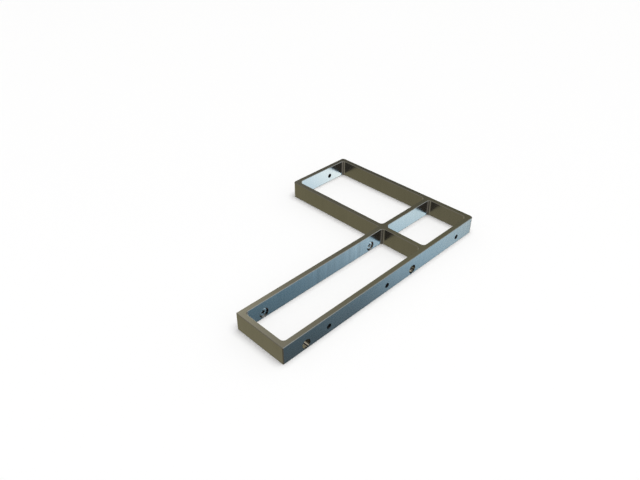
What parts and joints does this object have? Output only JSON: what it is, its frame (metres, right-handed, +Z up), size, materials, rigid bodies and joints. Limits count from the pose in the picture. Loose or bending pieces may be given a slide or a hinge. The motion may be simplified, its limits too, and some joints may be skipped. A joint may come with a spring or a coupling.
{
  "type": "drive bay adapter bracket",
  "caption": "L-shaped open metal frame that carries a small storage drive in a larger drive bay, with side screws, tapped side holes and open windows.",
  "frame": {"origin": "centre of the bottom of the bracket's box, on the surface that it rests on", "axes": "+X along the bracket from its near end to its far wall, +Y from the long side to the opposite side, +Z up"},
  "size_m": [0.146, 0.1016, 0.01],
  "materials": {
    "milled_aluminium": "bare, finely milled, satin",
    "plated_steel": "bright plated"
  },
  "bodies": {
    "root": {"bracket_frame": "milled_aluminium", "drive_screws": "plated_steel"}
  },
  "joints": []
}
